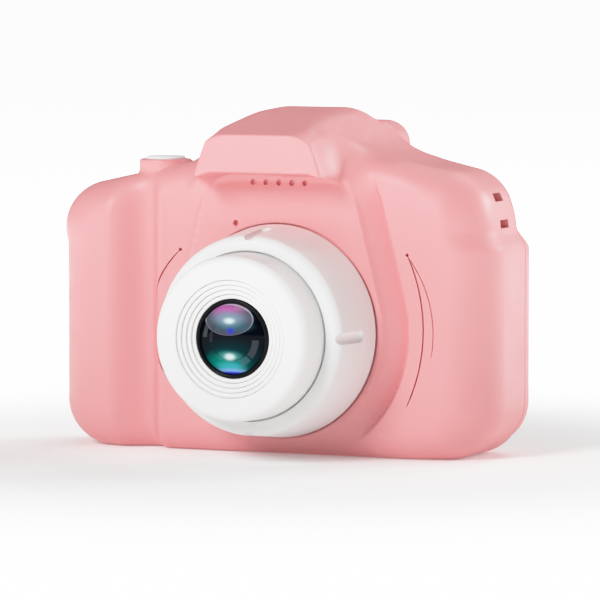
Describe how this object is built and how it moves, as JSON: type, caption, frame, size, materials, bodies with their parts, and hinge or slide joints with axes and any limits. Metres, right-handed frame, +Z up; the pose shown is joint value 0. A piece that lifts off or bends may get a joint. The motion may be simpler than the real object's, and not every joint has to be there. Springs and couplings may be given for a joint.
{
  "type": "kids digital camera",
  "caption": "Small rounded toy camera with a hand grip, a stepped lens barrel under a brow, a press-down shutter, round keys, a screen and a soft port cover.",
  "frame": {"origin": "centre of the bounding box in X and Y, on the plane of the base", "axes": "-Y is the front, where the lens points; +Z is up; +X runs from the grip to the far side"},
  "size_m": [0.08, 0.046, 0.0586],
  "materials": {
    "pink_gloss_plastic": "smooth gloss",
    "white_gloss_plastic": "smooth gloss",
    "pink_soft_rubber": "soft satin",
    "black_plastic": "satin",
    "clear_glass": "polished",
    "chip_black": "matt",
    "circuit_board": "satin solder mask",
    "ribbon": "satin film",
    "connector_plastic": "satin",
    "steel": "plain",
    "battery_foil": "satin foil",
    "foam_rubber": "matt foam",
    "lead_insulation": "satin",
    "display_dark": "mirror gloss",
    "light_guide": "frosted"
  },
  "bodies": {
    "case": {"front_shell": "pink_gloss_plastic", "rear_shell": "pink_gloss_plastic", "lens_ring": "white_gloss_plastic", "lens_barrel": "white_gloss_plastic", "lens_bezel": "black_plastic", "front_glass": "clear_glass", "aperture_plate": "black_plastic", "lens_element_front": "clear_glass", "lens_element_rear": "clear_glass", "lens_holder": "black_plastic", "image_sensor": "chip_black", "sensor_board": "circuit_board", "sensor_flex": "ribbon", "main_board": "circuit_board", "board_chips": "chip_black", "flex_connectors": "connector_plastic", "key_switches": "black_plastic", "shutter_switch": "black_plastic", "shutter_board": "circuit_board", "usb_socket": "steel", "card_socket": "steel", "battery": "battery_foil", "battery_pad": "foam_rubber", "battery_leads": "lead_insulation", "speaker": "black_plastic", "speaker_leads": "lead_insulation", "microphone": "steel", "microphone_boot": "foam_rubber", "screen_window": "clear_glass", "screen_border": "black_plastic", "display_glass": "display_dark", "display_backlight": "steel", "display_flex": "ribbon", "display_gasket": "foam_rubber", "charge_light": "light_guide", "eyepiece_window": "display_dark", "case_screws": "steel", "board_screws": "steel", "lens_screws": "steel"},
    "shutter": {"shutter_button": "white_gloss_plastic"},
    "power_key": {"power_button": "white_gloss_plastic"},
    "menu_key": {"menu_button": "white_gloss_plastic"},
    "up_key": {"up_button": "white_gloss_plastic"},
    "down_key": {"down_button": "white_gloss_plastic"},
    "left_key": {"left_button": "white_gloss_plastic"},
    "right_key": {"right_button": "white_gloss_plastic"},
    "ok_key": {"ok_button": "white_gloss_plastic"},
    "cover": {"port_cover": "pink_soft_rubber"},
    "card": {"memory_card": "chip_black"}
  },
  "joints": [
    {"name": "shutter_press", "type": "slide", "parent": "case", "child": "shutter", "axis": [0, 0, -1], "range_m": [0, 0.0006], "stiffness_N_per_m": 400, "springref_m": -0.0006},
    {"name": "power_press", "type": "slide", "parent": "case", "child": "power_key", "axis": [0, -1, 0], "range_m": [0, 0.0005], "stiffness_N_per_m": 300, "springref_m": -0.0003},
    {"name": "menu_press", "type": "slide", "parent": "case", "child": "menu_key", "axis": [0, -1, 0], "range_m": [0, 0.0005], "stiffness_N_per_m": 300, "springref_m": -0.0003},
    {"name": "up_press", "type": "slide", "parent": "case", "child": "up_key", "axis": [0, -1, 0], "range_m": [0, 0.0005], "stiffness_N_per_m": 300, "springref_m": -0.0003},
    {"name": "down_press", "type": "slide", "parent": "case", "child": "down_key", "axis": [0, -1, 0], "range_m": [0, 0.0005], "stiffness_N_per_m": 300, "springref_m": -0.0003},
    {"name": "left_press", "type": "slide", "parent": "case", "child": "left_key", "axis": [0, -1, 0], "range_m": [0, 0.0005], "stiffness_N_per_m": 300, "springref_m": -0.0003},
    {"name": "right_press", "type": "slide", "parent": "case", "child": "right_key", "axis": [0, -1, 0], "range_m": [0, 0.0005], "stiffness_N_per_m": 300, "springref_m": -0.0003},
    {"name": "ok_press", "type": "slide", "parent": "case", "child": "ok_key", "axis": [0, -1, 0], "range_m": [0, 0.0005], "stiffness_N_per_m": 300, "springref_m": -0.0003},
    {"name": "cover_hinge", "type": "hinge", "parent": "case", "child": "cover", "pos_m": [-0.03925, 0.009, 0.01175], "axis": [0, -1, 0], "range_deg": [0, 100]},
    {"name": "card_push", "type": "slide", "parent": "case", "child": "card", "axis": [1, 0, 0], "range_m": [0, 0.0008], "stiffness_N_per_m": 150, "springref_m": -0.0004}
  ]
}
